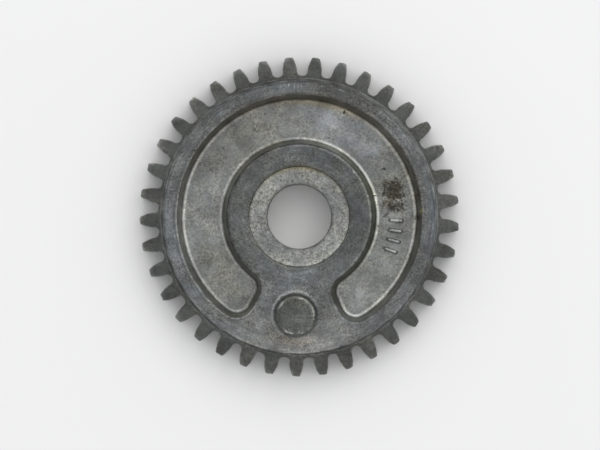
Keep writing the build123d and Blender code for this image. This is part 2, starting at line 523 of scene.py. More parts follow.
pinRing = np.broadcast_to(pinCentre, spokes.shape)
pinGrid = carried(pinRing, spokes, pinSide)
faceGrid = carried(pinRing, spokes, pinFace)
pinPole = np.broadcast_to(np.append(pinCentre, pinHeight), faceGrid[-1].shape)
addGrid(pinGrid, "pinSide", wrapped=True)
addGrid(faceGrid, "pin", wrapped=True)
addGrid(np.stack([faceGrid[-1], pinPole]), "pin", wrapped=True)
bridgeShares = np.linspace(0, 1, meshSteps["bridge"] + 1) ** meshSteps["bridgeCrowding"]
addGrid(ruled(pinGrid[0], bridgeLine, bridgeShares), "bridge", wrapped=True)

# The toothed band: its section goes from the teeth's upper face over a small round, down the
# flanks and under. The round is larger along the tips.
outline, outlineNormals = bandOutline()
reach = np.linalg.norm(outline, axis=1)
atTip = np.clip((reach - pitchRadius) / (tipRadius - pitchRadius), 0, 1)[None, :, None] ** 2


# The section with that radius on its edges: upper round, flank and lower round
def bandSection(small):
    width, steps = teeth["width"], teeth["edgeSteps"]
    return np.concatenate([
        arc((-small, width - small), small, 90, 0, steps[0]),
        straight((0, width - small), (0, small), steps[1])[1:-1],
        arc((-small, small), small, 0, -90, steps[2]),
    ])


sharp = bandSection(teeth["edgeRound"])[:, None]
soft = bandSection(teeth["tipEdgeRound"])[:, None]
bandGrid = carried(outline, outlineNormals, sharp * (1 - atTip) + soft * atTip)
ringRadius = discSide[-1, :, 0].max() + disc["ledgeRing"]
outlineAngles = np.arctan2(outline[:, 0], -outline[:, 1])
upperRing = raised(polar(ringRadius, outlineAngles), teeth["width"])
lowerRing = raised(polar(ringRadius, outlineAngles), 0)
addGrid(ruled(upperRing, bandGrid[0], teeth["faceShares"]), "tooth", wrapped=True)
addGrid(bandGrid, "flank", wrapped=True)
addGrid(ruled(bandGrid[-1], lowerRing, [0, 0.5, 1]), "under", wrapped=True)
addZip(upperRing, discGrid[-1], "ledge")
innerRing = raised(polar(ringRadius - meshSteps["underRing"], hubAngles), 0)
addZip(lowerRing, innerRing, "under")
underShares = np.linspace(0, 1, meshSteps["under"] + 1)
addGrid(ruled(innerRing, boreGrid[-1], underShares), "under", wrapped=True)
print("patches", len(patches), "columns", count)

# Colour and painted light of each face of the casting: its colour in linear light, how many dark specks
# and light flecks it shows, and how it sways with the angle as (share, number of peaks, angle of a peak)
finishAndLight = {
    "hub": ((0.195, 0.199, 0.191), 1.0, 0.5, [(0.15, 2, 45), (0.08, 1, 20)]),
    # The hub's side sways with painted light and shade: paler on one side, darker on the other
    "hubSide": ((0.092, 0.094, 0.086), 0.4, 0.2, [(0.40, 1, 345)]),
    "bore": ((0.250, 0.250, 0.240), 0.2, 0.2, []),
    "boreEdge": ((0.110, 0.110, 0.103), 0.2, 0.2, []),
    "land": ((0.085, 0.089, 0.087), 0.3, 0.3, [(0.10, 1, 335)]),
    "bridge": ((0.118, 0.124, 0.124), 0.3, 0.4, []),
    "apron": ((0.196, 0.198, 0.190), 0.3, 0.5, []),
    "rim": ((0.100, 0.104, 0.104), 0.3, 0.5, [(0.12, 1, 340)]),
    # The mouth rows paint a highlight along the rounded edges of the pocket's mouth
    "mouthInner": ((0.088, 0.090, 0.087), 0.2, 0.3, [(0.40, 1, 95), (0.12, 2, 140)]),
    "mouthOuter": ((0.203, 0.207, 0.200), 0.2, 0.4, [(0.50, 1, 300)]),
    # The walls' sways are painted light and shade: darker on some sides, lighter on others
    "wallInner": ((0.178, 0.182, 0.160), 0.5, 0.1, [(0.36, 1, 200), (0.10, 4, 150)]),
    "wallOuter": ((0.179, 0.182, 0.166), 0.6, 0.1, [(0.30, 1, 335), (0.12, 5, 60)]),
    # The foot rows paint a highlight in the fillets at the foot of the walls
    "footInner": ((0.350, 0.352, 0.341), 0.2, 0.4, [(0.35, 1, 125), (0.28, 2, 98)]),
    "footOuter": ((0.335, 0.336, 0.320), 0.3, 0.3, [(0.18, 1, 20), (0.25, 2, 75)]),
    "floor": ((0.163, 0.168, 0.162), 0.6, 0.4, [(0.09, 3, 45)]),
    "pin": ((0.086, 0.089, 0.081), 0.5, 0.3, []),
    # The disc's side: its colour and sways are painted light and shade by side
    "discSide": ((0.174, 0.179, 0.174), 0.3, 0.5, [(0.20, 1, 150), (0.20, 3, 0)]),
    "ledge": ((0.138, 0.140, 0.133), 0.3, 0.2, [(0.22, 1, 345)]),
    "tooth": ((0.067, 0.069, 0.064), 0.4, 0.2, []),
    "flank": ((0.092, 0.094, 0.089), 0.3, 0.1, []),
    "under": ((0.085, 0.088, 0.086), 0.5, 0.4, []),
}
# The crank pin's rings, by distance from its axis: painted highlight on the rounded edge of its end, worn
# ring inside it, dark side in painted shade, and pale foot with a painted highlight on its fillet
pinRings = {
    "polish": {"at": 1.745, "reach": 0.060, "gain": 2.6},
    "worn": {"at": 1.66, "reach": 0.17, "gain": -0.32},
    "end": {"at": 1.95, "reach": 0.12, "gain": 0.02},
    "side": {"at": 2.12, "reach": 0.09, "gain": -0.20},
    "foot": {"at": 2.25, "reach": 0.07, "gain": 1.25},
}
# The painted highlight on the pin's end runs in broken arcs, and the one on its foot is strongest on one
# side; where the rings darken the paint below the dark level it turns a little yellower
pinBreaks = {
    "polish": 0.10,  # share of the polish that goes all the way round
    "arcs": ((144, 14, 0.8), (16, 20, 0.7), (62, 16, 0.8), (-114, 15, 1.1)),  # middle, width, share
    "worn": (186, 34),  # middle and width of the worn ring
    "foot": (0.46, 0.54, 128),  # the pale foot's mean, swing and peak
    "side": 0.75,  # how much weaker the rings are on the pin's side
    "sideFrom": (0.25, 0.6),  # above the face, where the side begins and is whole
    "sideTo": (0.2, 0.5),  # below the pin's end, where the side ends and is whole
    "dark": 0.8,  # below this level a ring is a little yellower
    "yellow": 0.10,
}
# The bars' tops are painted paler than the floor: a painted highlight on the raised marks
barGain = 1.38  # the tally bars' tops over the floor
# The teeth's tips are painted paler, more on one side than the other: a painted highlight on their
# rounded edges
tipGain = {"mean": 0.26, "swing": 0.20, "peak": 268}  # how much paler the teeth's tips are, by angle
# Where one finish passes into another: from where it begins to where it is whole
blends = {
    "nearPin": (-40, -16),  # degrees from the pin's side, with a minus sign
    "sides": 0.5,  # to both sides of the pocket's middle radius
    "apron": (0.5, 0.6),  # outside the pocket's inner mouth, and inside the disc's edge
    "pinFoot": 0.3,  # above the face
    "barTop": (0.06, 0.14),  # above the floor
    "discSide": (0.03, 0.35),  # below the face
    "boreEdge": (0.6, 0.15),  # below the hub's face
    "tip": (0.35, 0.05),  # inside the tip circle
    "foot": (0.03, 0.13),  # above the floor
    "mouth": (0.09, 0.01),  # below the face
}
# Soft patches of another tint: radius, angle, reach across and along, and the factor. The pale, dark,
# quiet and golden patches on the walls, the fillets at their foot, the mouths, the hub's edge and foot
# and the disc's side and edge, and the rim's pale bands along the disc's edge on the left, are painted
# light and shade, and the warm patch below the pin is the tint of its painted shadow; the other patches,
# the green fleck among them, make faces paler, darker, warmer or colder in places.
tonePatches = {
    "goldenHubEdge": (4.75, 185, 0.18, 2.2, 1.04, 0.93, 0.68),
    "paleHubEdge": (4.72, 48, 0.12, 3.6, 1.60, 1.60, 1.55),
    "paleHubEdgeLeft": (4.72, 330, 0.12, 2.0, 1.12, 1.12, 1.10),
    "paleHubEdgeUpper": (4.72, 238, 0.12, 1.6, 1.25, 1.25, 1.22),
    "paleHubFoot": (4.93, 325, 0.10, 1.5, 1.75, 1.75, 1.72),
    "paleHubBelow": (4.0, 335, 0.6, 1.1, 1.36, 1.36, 1.34),
    "paleHubUpper": (4.0, 225, 0.6, 0.9, 1.37, 1.36, 1.32),
    "darkHubLeft": (4.0, 280, 0.6, 1.6, 0.82, 0.82, 0.82),
    "paleHubRight": (4.0, 40, 0.6, 0.8, 1.13, 1.14, 1.13),
    "paleHubSide": (4.0, 88, 0.6, 0.9, 1.15, 1.15, 1.14),
    "goldenHubTop": (4.0, 179, 0.6, 1.0, 0.92, 0.91, 0.87),
    "darkWallRight": (7.28, 72, 0.2, 2.8, 0.50, 0.51, 0.48),
    "paleWallTop": (7.25, 152, 0.2, 1.3, 1.45, 1.45, 1.42),
    "darkWallTop": (7.25, 208, 0.2, 1.3, 0.66, 0.66, 0.64),
    "darkFootRight": (7.65, 50, 0.12, 2.2, 0.62, 0.62, 0.58),
    "darkMouthTop": (7.08, 195, 0.10, 2.8, 0.72, 0.72, 0.70),
    "paleMouthLeft": (7.08, 330, 0.12, 1.6, 1.35, 1.35, 1.33),
    "paleOuterWall": (11.65, 135, 0.28, 5.0, 1.30, 1.30, 1.30),
    "quietOuterMouth": (12.08, 245, 0.09, 9.0, 0.70, 0.70, 0.72),
    "paleOuterMouth": (11.86, 285, 0.05, 4.5, 1.30, 1.30, 1.30),
    "darkOuterWall": (11.7, 332, 0.3, 2.6, 0.72, 0.72, 0.71),
    "darkOuterFoot": (11.2, 86, 0.14, 2.8, 0.74, 0.74, 0.74),
    "darkOuterFootTop": (11.2, 212, 0.14, 3.0, 0.76, 0.76, 0.75),
    "paleOuterFoot": (11.2, 138, 0.14, 3.4, 1.18, 1.16, 1.12),
    "darkOuterFootLeft": (11.2, 330, 0.14, 2.4, 0.76, 0.76, 0.76),
    "darkFootTop": (7.65, 205, 0.12, 1.3, 0.72, 0.72, 0.70),
    "brownOuterWall": (11.65, 170, 0.3, 11.0, 1.08, 1.0, 0.92),
    "oliveInnerWall": (7.25, 102, 0.25, 3.5, 0.96, 1.01, 0.87),
    "quietSideBelow": (13.36, 2, 0.08, 5.5, 0.74, 0.74, 0.74),
    "paleSideBelow": (13.24, 336, 0.06, 4.0, 1.40, 1.40, 1.38),
    "goldenFoot": (11.1, 172, 0.22, 2.6, 1.12, 1.02, 0.80),
    "paleUpperFloor": (9.6, 153, 1.3, 3.2, 1.27, 1.28, 1.36),
    "brownishFloor": (9.4, 215, 1.3, 3.5, 1.0, 0.97, 0.90),
    "warmFloorStain": (9.6, 112, 1.3, 1.6, 1.08, 1.06, 0.98),
    "warmFloorLeft": (9.4, 308, 1.3, 2.4, 0.90, 0.88, 0.82),
    "paleFloorLeft": (9.4, 252, 1.2, 1.8, 1.15, 1.16, 1.17),
    "paleFloorRight": (9.4, 76, 1.2, 2.0, 1.14, 1.13, 1.10),
    "coldRimLeft": (12.6, 285, 0.35, 4.0, 1.15, 1.18, 1.23),
    "coldRimRight": (12.85, 93, 0.3, 2.2, 0.84, 0.87, 0.92),
    "paleLandRight": (6.0, 33, 0.7, 1.2, 1.38, 1.39, 1.37),
    "paleLandUpper": (6.0, 129, 0.6, 1.0, 1.52, 1.53, 1.52),
    "paleLandLeft": (6.0, 264, 0.6, 1.5, 1.26, 1.26, 1.24),
    "quietLandTop": (6.0, 151, 0.6, 1.3, 0.80, 0.80, 0.80),
    "quietLandUpper": (6.0, 233, 0.6, 1.0, 0.87, 0.84, 0.81),
    "quietLandLeft": (6.0, 290, 0.6, 1.0, 0.82, 0.82, 0.83),
    "paleLandBelow": (6.0, 311, 0.6, 0.9, 1.18, 1.19, 1.17),
    "paleLandTop": (6.0, 192, 0.6, 0.8, 1.14, 1.14, 1.14),
    "coldLandTop": (6.2, 172, 0.5, 2.0, 1.07, 1.09, 1.10),
    "darkRimCorner": (12.6, 152, 0.7, 3.6, 0.88, 0.87, 0.80),
    "paleRimTop": (12.5, 193, 0.4, 2.0, 1.22, 1.23, 1.24),
    "coldRimUpper": (12.5, 132, 0.4, 1.8, 1.06, 1.10, 1.15),
    "paleRimUpper": (12.7, 122, 0.45, 2.2, 1.17, 1.17, 1.16),
    "darkRimLeft": (12.7, 325, 0.6, 3.2, 0.82, 0.82, 0.82),
    "paleRimEdge": (13.02, 239, 0.16, 2.0, 1.24, 1.25, 1.25),
    "paleRimLeft": (12.35, 239, 0.3, 1.4, 1.22, 1.23, 1.23),
    "quietRimLeft": (12.65, 254, 0.35, 1.2, 0.86, 0.86, 0.86),
    "quietRimUpper": (12.65, 225, 0.3, 1.5, 0.84, 0.84, 0.83),
    "darkLedgeTop": (13.42, 225, 0.11, 8.0, 0.72, 0.72, 0.72),
    "paleLedgeLeft": (13.56, 328, 0.10, 3.6, 1.40, 1.40, 1.38),
    "paleLedgeRight": (13.50, 30, 0.12, 2.2, 1.22, 1.22, 1.22),
    "rustyApron": (11.9, 0, 0.4, 1.3, 1.06, 0.98, 0.88),
    "quietSideRight": (13.40, 98, 0.07, 4.5, 0.74, 0.74, 0.75),
    "paleSideRight": (13.22, 76, 0.08, 5.5, 1.45, 1.45, 1.45),
    "paleSideUpper": (13.30, 148, 0.08, 2.5, 1.25, 1.25, 1.25),
    "quietSideTop": (13.2, 183, 0.2, 3.5, 0.80, 0.80, 0.80),
    "quietRimTop": (12.85, 180, 0.2, 2.0, 0.84, 0.84, 0.84),
    "quietEdgeAbove": (13.1, 190, 0.09, 12.0, 0.85, 0.85, 0.85),
    "paleFloorEnd": (10.0, 38, 0.9, 1.8, 1.25, 1.25, 1.23),
    "darkFloorRight": (8.4, 60, 0.5, 2.0, 0.86, 0.86, 0.84),
    "greenFleck": (11.74, 95, 0.09, 0.12, 2.2, 2.1, 1.0),
}
# How the casting is worn, as waves: depth, length, mean and seed
wear = {
    "swell": (0.010, 5.0, 1.0, 3),  # long waves of the cast skin
    "pucker": (0.006, 1.2, 1.0, 5),  # short waves of the cast skin
    "tipLump": (0.045, 0.9, 0.6, 7),
    "edgeChip": (0.055, 0.55, -0.35, 11),
    "pit": (0.050, 0.42, 0.3, 13),
}
wearLimits = {
    "toothSkin": 0.7,  # how much weaker the skin's waves are on the teeth
    "chipBand": (0.3, 0.05),  # inside the disc's edge, where the chips begin and are whole
    "chipHeight": 0.25,  # below the face
    "chipAngle": (77.0, 62.0),  # from the pin's side, where the chips end and are whole
    "underside": (-0.001, 0.4),  # heights between which the wear begins
    "stainBelow": 0.5,  # the stain shows from here below the floor
    "stainAbove": 0.1,  # to here below the face
}
# How the edges are rubbed bright, with a painted highlight, and the hollows are dirty, with painted shade
rubbingAndPaintedLight = {
    "edgeBend": 4,  # one over the radius at which an edge is fully rubbed
    "edgeRounds": 2,  # of spreading to the points beside it
    "hollowBend": 6,
    "hollowRounds": 3,
    "wornDisc": 0.8,  # shares of the rubbing that are taken away again
    "wornDiscAngle": (40, 80),
    "disc": 0.45,
    "discBand": (0.35, 0.2),  # reach to each side of the disc's edge, and where it is whole
    "discAbove": 0.2,  # above the teeth
    "mouth": 0.6,
    "mouthBand": (0.3, 0.2),
    "mouthMiddle": 0.1,  # from the outer mouth's line out to the middle of its rubbed band
    "mouthBelow": 0.3,  # below the face
    "pinEnd": 0.85,
    "pinBelow": 0.5,  # below the pin's end
}
# How coarse the grain is low down, and how far above the floor it starts to grow towards the face
grainCoarse = {"least": 0.2, "from": 1.2}
# The pitted stain: x, y, reach in x and y, and strength
stains = [
    (8.98, 3.10, 0.70, 0.68, 1.0),
    (9.05, 2.52, 0.70, 0.32, 1.60),
    (9.15, 1.40, 0.92, 0.46, 0.84),
    (8.45, 0.50, 0.30, 0.30, 0.5),
    (11.46, 2.55, 0.30, 0.50, 0.8),
    (11.46, 0.35, 0.25, 0.30, 0.8),
]


# A smooth step from 0 to 1 between two values: share squared (3 - 2 share)
def eased(value, low, high):
    share = np.clip((value - low) / (high - low), 0, 1)
    return share * share * (3 - 2 * share)


# One row of paint passing into another: first (1 - share) + second share
def passing(first, second, share):
    return first * (1 - share[:, None]) + second * share[:, None]


# A bell round a circle, in radians, with its middle and its width in degrees
def roundBell(turn, middle, wide):
    return np.exp(2 * (np.cos(turn - math.radians(middle)) - 1) / math.radians(wide) ** 2)


# Colour, specks and flecks of one finish at those angles: the colour times 1 + the sum of
# share cos(peaks (angle - peak))
def swayed(name, angle):
    colour, specks, flecks, sways = finishAndLight[name]
    level = np.ones((len(angle), 1))
    for share, peaks, peak in sways:
        level[:, 0] += share * np.cos(np.radians(peaks * (angle - peak)))
    return np.concatenate([level * np.array(colour), np.tile([specks, flecks], (len(angle), 1))], axis=1)


# Adds the crank pin's rings to the paint: 1 + the sum of gain bell((distance - at) / reach). The painted
# highlight on the pin's end and the worn ring are broken, and the painted highlight on the foot is
# stronger away from the disc's edge; the dark side ring is painted shade.
def ringed(mixed, points):
    offset = points[:, :2] - pinCentre
    distance = np.linalg.norm(offset, axis=1)
    turn = np.arctan2(offset[:, 1], offset[:, 0])
    glinting = pinBreaks["polish"]
    for middle, wide, strength in pinBreaks["arcs"]:
        glinting = glinting + strength * roundBell(turn, middle, wide)
    mean, swing, peak = pinBreaks["foot"]
    broken = {
        "polish": glinting,
        "worn": roundBell(turn, *pinBreaks["worn"]),
        "foot": mean + swing * np.cos(turn - math.radians(peak)),
    }
    low, whole = pinBreaks["sideFrom"]
    onSide = eased(points[:, 2], faceHeight + low, faceHeight + whole)
    low, whole = pinBreaks["sideTo"]
    onSide *= eased(-points[:, 2], low - pinHeight, whole - pinHeight)
    level = np.ones(len(points))
    for name, ring in pinRings.items():
        bell = np.exp(-0.5 * ((distance - ring["at"]) / ring["reach"]) ** 2)
        level += ring["gain"] * broken.get(name, 1.0) * bell * (1 - pinBreaks["side"] * onSide)
    mixed[:, :3] *= level[:, None]
    mixed[:, 2] *= 1 - pinBreaks["yellow"] * (level < pinBreaks["dark"])
    return mixed


# The paint of a zone's points. Land, bridge and rim are one face, whose finish passes smoothly from
# one to the next; the pocket's mouth, wall and foot have an inner and an outer finish.
def paintZone(zone, points):
    angle = np.degrees(np.arctan2(points[:, 0], -points[:, 1]))
    radius = np.linalg.norm(points[:, :2], axis=1)
    height = points[:, 2]
    nearPin = eased(-np.abs(angle), *blends["nearPin"])
    outer = eased(radius, middleRadius - blends["sides"], middleRadius + blends["sides"])

    # The finish of an inner and an outer face, by distance from the axis
    def sided(inner, outside):
        return passing(swayed(inner, angle), swayed(outside, angle), outer)

    if zone in ("land", "bridge", "rim"):
        start, whole = blends["apron"]
        below = eased(radius, mouthInner + start, discRadius - whole)
        middle = passing(swayed("bridge", angle), swayed("apron", angle), below)
        return ringed(passing(sided("land", "rim"), middle, nearPin), points)
    if zone in ("pin", "pinSide"):
        mixed = swayed("pin", angle)
        atFoot = eased(-height, -faceHeight - blends["pinFoot"], -faceHeight)
        mixed[:, :3] = passing(mixed, swayed("bridge", angle), atFoot)[:, :3]
        return ringed(mixed, points)
    if zone == "floor":
        mixed = swayed("floor", angle)
        # The bars' tops are paler: a painted highlight
        start, whole = blends["barTop"]
        onBar = eased(height, floorHeight + start, floorHeight + whole)
        mixed[:, :3] *= 1 + (barGain - 1) * onBar[:, None]
        return mixed
    # The disc's side: painted light and shade by side, from the rim's colour at its edge
    if zone == "discSide":
        edge = passing(swayed("rim", angle), swayed("apron", angle), nearPin)
        return passing(edge, swayed(zone, angle), eased(faceHeight - height, *blends[zone]))
    if zone == "bore":
        start, whole = blends["boreEdge"]
        upper = eased(height, hubHeight - start, hubHeight - whole)
        return passing(swayed("bore", angle), swayed("boreEdge", angle), upper)
    if zone in ("tooth", "flank"):
        mixed = swayed(zone, angle)
        start, whole = blends["tip"]
        # The tips' painted highlight, stronger on one side
        gain = tipGain["mean"] + tipGain["swing"] * np.cos(np.radians(angle - tipGain["peak"]))
        mixed[:, :3] *= 1 + (gain * eased(radius, tipRadius - start, tipRadius - whole))[:, None]
        return mixed
    # The walls: painted light and shade by side, through their sways
    if zone == "wall":
        return sided("wallInner", "wallOuter")
    # The foot fillets: a painted highlight low in the fillet, passing into the walls' colour above
    if zone == "foot":
        start, whole = blends["foot"]
        wall = eased(height, floorHeight + start, floorHeight + whole)
        return passing(sided("footInner", "footOuter"), sided("wallInner", "wallOuter"), wall)
    # The mouth's round: a painted highlight, passing into the face's colour at the top
    if zone == "mouth":
        start, whole = blends["mouth"]
        face = eased(height, faceHeight - start, faceHeight - whole)
        return passing(sided("mouthInner", "mouthOuter"), sided("land", "rim"), face * outer)
    return swayed(zone, angle)


# Joins the patches where their points are equal, and takes the mean paint of the patches that meet
def weldPatches():
    points = np.concatenate([patch[0] for patch in patches])
    starts = np.cumsum([0] + [len(patch[0]) for patch in patches])
    paint = np.concatenate([paintZone(zone, patchPoints) for patchPoints, _, zone in patches])
    keys = np.round(points, 6) + 0.0
    _, first, where = np.unique(keys, axis=0, return_index=True, return_inverse=True)
    where = where.ravel()
    shared = np.bincount(where)
    mixed = np.stack([np.bincount(where, column) / shared for column in paint.T], axis=-1)
    faces = []
    for (_, corners, _), start in zip(patches, starts):
        faces.extend(where[corners + start].tolist())
    return points[first], faces, mixed


points, faces, paint = weldPatches()
print("points", len(points), "faces", len(faces))


# Puts the casting's points and faces into one closed mesh whose faces look outwards
def makeCasting():
    mesh = bpy.data.meshes.new("gearCasting")
    tidy = [list(dict.fromkeys(face)) for face in faces]
    mesh.from_pydata((points * metre).tolist(), [], [face for face in tidy if len(face) > 2])
    mesh.update()
    shell = bmesh.new()
    shell.from_mesh(mesh)
    bmesh.ops.recalc_face_normals(shell, faces=shell.faces)
    openEdges = sum(1 for edge in shell.edges if len(edge.link_faces) != 2)
    print("edges without two faces", openEdges, "volume", round(shell.calc_volume() / metre**3, 1))
    shell.to_mesh(mesh)
    shell.free()
    return mesh


castingMesh = makeCasting()
casting = bpy.data.objects.new("oscillatingGearCasting", castingMesh)
bpy.context.scene.collection.objects.link(casting)
castingMesh.shade_smooth()

normals = np.empty(len(points) * 3, np.float32)
castingMesh.vertex_normals.foreach_get("vector", normals)
normals = normals.reshape(-1, 3).astype(float)
edges = np.empty(len(castingMesh.edges) * 2, np.int32)
castingMesh.edges.foreach_get("vertices", edges)
edges = edges.reshape(-1, 2)
links = np.bincount(edges.ravel(), minlength=len(points))


# The mean over each point's edges of a value given for both directions of every edge
def edgeMean(forward, backward):
    total = np.bincount(edges[:, 0], forward, len(points))
    return (total + np.bincount(edges[:, 1], backward, len(points))) / links


# Evens a value out over neighbouring points, once for each round
def spread(value, rounds):
    for _ in range(rounds):
        value = 0.5 * value + 0.5 * edgeMean(value[edges[:, 1]], value[edges[:, 0]])
    return value


# How much the surface bends at each point, as one over a radius: 2 normal . step / step squared,
# above 0 in a hollow and below 0 on an edge
def curvature():
    step = points[edges[:, 1]] - points[edges[:, 0]]
    squared = (step**2).sum(axis=1)
    forward = 2 * (normals[edges[:, 0]] * step).sum(axis=1) / squared
    backward = -2 * (normals[edges[:, 1]] * step).sum(axis=1) / squared
    return edgeMean(forward, backward)


# Seeded waves over the points, about -1 to 1: the sum of sines that run in many directions
def waves(length, seed, number=14):
    dice = np.random.default_rng(seed)
    heading = dice.normal(size=(3, number))
    heading /= np.linalg.norm(heading, axis=0)
    rate = 2 * np.pi / length * dice.uniform(0.7, 1.4, number)
    sines = np.sin(points @ (heading * rate) + dice.uniform(0, 2 * np.pi, number))
    return sines.sum(axis=1) * math.sqrt(1 / number)


# 1 within a band beside a radius, above a height, and 0 elsewhere
def inBand(radius, band, height):
    away, whole = band
    return eased(-np.abs(reaches - radius), -away, -whole) * (points[:, 2] > height)


angles = np.degrees(np.arctan2(points[:, 0], -points[:, 1]))
reaches = np.linalg.norm(points[:, :2], axis=1)
bend = curvature()
# Convex edges are rubbed bright and carry a painted highlight
edgeWearAndSheen = spread(np.clip(-bend / rubbingAndPaintedLight["edgeBend"], 0, 1), rubbingAndPaintedLight["edgeRounds"])
onDiscEdge = inBand(discRadius, rubbingAndPaintedLight["discBand"], teeth["width"] + rubbingAndPaintedLight["discAbove"])
mouthMiddle, mouthLow = mouthOuter + rubbingAndPaintedLight["mouthMiddle"], faceHeight - rubbingAndPaintedLight["mouthBelow"]
onMouth = inBand(mouthMiddle, rubbingAndPaintedLight["mouthBand"], mouthLow)
edgeWearAndSheen *= 1 - rubbingAndPaintedLight["wornDisc"] * onDiscEdge * eased(np.abs(angles), *rubbingAndPaintedLight["wornDiscAngle"])
edgeWearAndSheen *= 1 - rubbingAndPaintedLight["pinEnd"] * (points[:, 2] > pinHeight - rubbingAndPaintedLight["pinBelow"])
edgeWearAndSheen *= 1 - rubbingAndPaintedLight["disc"] * onDiscEdge
edgeWearAndSheen *= 1 - rubbingAndPaintedLight["mouth"] * onMouth
# Hollows are dirty and darkened with painted shade
grimeAndShade = spread(np.clip(bend / rubbingAndPaintedLight["hollowBend"], 0, 1), rubbingAndPaintedLight["hollowRounds"])


# How strong the stain is at each point: the greatest of its bell shapes
def stainAt():
    strength = np.zeros(len(points))
    for x, y, wide, high, most in stains:
        offset = (points[:, :2] - (x, y)) / (wide, high)
        strength = np.maximum(strength, most * np.exp(-0.5 * (offset**2).sum(axis=1)))
    low, high = floorHeight - wearLimits["stainBelow"], faceHeight - wearLimits["stainAbove"]
    return strength * (points[:, 2] > low) * (points[:, 2] < high)


stained = stainAt()


# The tints of the patches, painted light and shade among them: the product of 1 + (factor - 1)
# bell(across) bell(along)
def patchTint():
    tint = np.ones((len(points), 3))
    for radius, middle, wide, long, *factor in tonePatches.values():
        along = np.radians((angles - middle + 180) % 360 - 180) * radius / long
        across = (reaches - radius) / wide
        tint *= 1 + (np.array(factor) - 1) * np.exp(-0.5 * (across**2 + along**2))[:, None]
    return tint


# The waves of one kind of wear: depth (mean + waves)
def waved(name):
    depth, length, mean, seed = wear[name]
    return depth * (mean + waves(length, seed))


# How deep the worn surface lies below the drawn one: waves of the cast skin, lumps at the teeth's
# tips, chips on the disc's edge and the stain's pits
def wornDepth():
    depth = waved("swell") + waved("pucker")
    depth *= 1 - wearLimits["toothSkin"] * eased(reaches, discFootRadius, rootRadius)
    depth += eased(reaches, pitchRadius, tipRadius) * np.clip(waved("tipLump"), 0, None)
    away, whole = wearLimits["chipBand"]
    chipped = eased(reaches, discRadius - away, discRadius - whole)
    chipped *= points[:, 2] > faceHeight - wearLimits["chipHeight"]
    away, whole = wearLimits["chipAngle"]
    chipped *= eased(-np.abs(angles), -away, -whole)
    depth += chipped * np.clip(waved("edgeChip"), 0, wear["edgeChip"][0])
    depth += stained * np.clip(waved("pit"), 0, None)
    return np.clip(depth, 0, None) * eased(points[:, 2], *wearLimits["underside"])


castingMesh.vertices.foreach_set("co", ((points - normals * wornDepth()[:, None]) * metre).ravel())
castingMesh.update()


# Keeps three values for each point of the mesh, which the material reads by name
def addAttribute(name, columns):
    values = np.concatenate([columns, np.ones((len(columns), 1))], axis=1)
    castingMesh.attributes.new(name, "FLOAT_COLOR", "POINT").data.foreach_set("color", values.ravel())


# The tone holds each face's colour with its painted light and shade: foot and mouth highlights, walls and
# sides lit by side, the pin's rings and the patches
addAttribute("tone", paint[:, :3] * patchTint())
# Edges rubbed bright with a painted highlight, hollows dirty with painted shade, and the stain
addAttribute("worn", np.stack([edgeWearAndSheen, grimeAndShade, stained], axis=1))
least = grainCoarse["least"]
coarse = least + (1 - least) * eased(points[:, 2], floorHeight + grainCoarse["from"], faceHeight)
addAttribute("grains", np.stack([paint[:, 3], paint[:, 4], coarse], axis=1))
print("wear", round(edgeWearAndSheen.max(), 2), "grimeAndShade", round(grimeAndShade.max(), 2))

zinc = bpy.data.materials.new("castZinc")
zinc.use_nodes = True
tree = zinc.node_tree
shader = tree.nodes["Principled BSDF"]


# Adds a node: an input given as a socket is linked, and any other value is set on the input
def addNode(kind, inputs, **settings):
    node = tree.nodes.new("ShaderNode" + kind)
    for name, value in settings.items():
        setattr(node, name, value)
    for name, value in inputs.items():
        if isinstance(value, bpy.types.NodeSocket):
            tree.links.new(value, node.inputs[name])
        else:
            node.inputs[name].default_value = value
    return node


# One operation on two values, such as MAXIMUM
def figured(operation, first, second):
    return addNode("Math", {0: first, 1: second}, operation=operation).outputs[0]


# first times second
def multiplied(first, second):
    return figured("MULTIPLY", first, second)


# first plus second
def added(first, second):
    return figured("ADD", first, second)


# One operation on vectors, which gives a vector, or for LENGTH a value
def vectored(operation, *vectors):
    node = addNode("VectorMath", dict(enumerate(vectors)), operation=operation)
    return node.outputs["Value" if operation == "LENGTH" else "Vector"]


# A value carried from one range to another with a smooth step, held at its ends
def ranged(value, low, high, start=0.0, end=1.0):
    inputs = {"Value": value, "From Min": low, "From Max": high, "To Min": start, "To Max": end}
    return addNode("MapRange", inputs, interpolation_type="SMOOTHSTEP").outputs["Result"]


# What a share from 0 to 1 does: the start at 0, the end at 1
def between(share, start, end):
    return ranged(share, 0.0, 1.0, start, end)


# Two colours multiplied, or mixed, by a factor
def blended(blend, factor, first, second):
    inputs = {"Factor": factor, 6: first, 7: second}
    return addNode("Mix", inputs, data_type="RGBA", blend_type=blend, clamp_result=False).outputs[2]


# Three values of an attribute of the mesh
def readAttribute(name):
    found = addNode("Attribute", {}, attribute_name=name)
    return addNode("SeparateXYZ", {"Vector": found.outputs["Vector"]}).outputs


# Noises of the cast skin: waves in each millimetre, detail, roughness and seed
noises = {
    "broad": (0.24, 2, 0.5, 1.0),
    "middle": (0.85, 4, 0.6, 5.0),
    "fine": (5.0, 3, 0.7, 9.0),
    "speck": (3.4, 2, 0.55, 13.0),
    "fleck": (4.6, 2, 0.5, 21.0),
    "tint": (0.55, 3, 0.5, 33.0),
    "scuff": (2.2, 4, 0.7, 71.0),
    "streak": (1.0, 3, 0.6, 61.0),
    "stain": (3.6, 4, 0.75, 41.0),
    "pit": (4.2, 2, 0.6, 47.0),
}
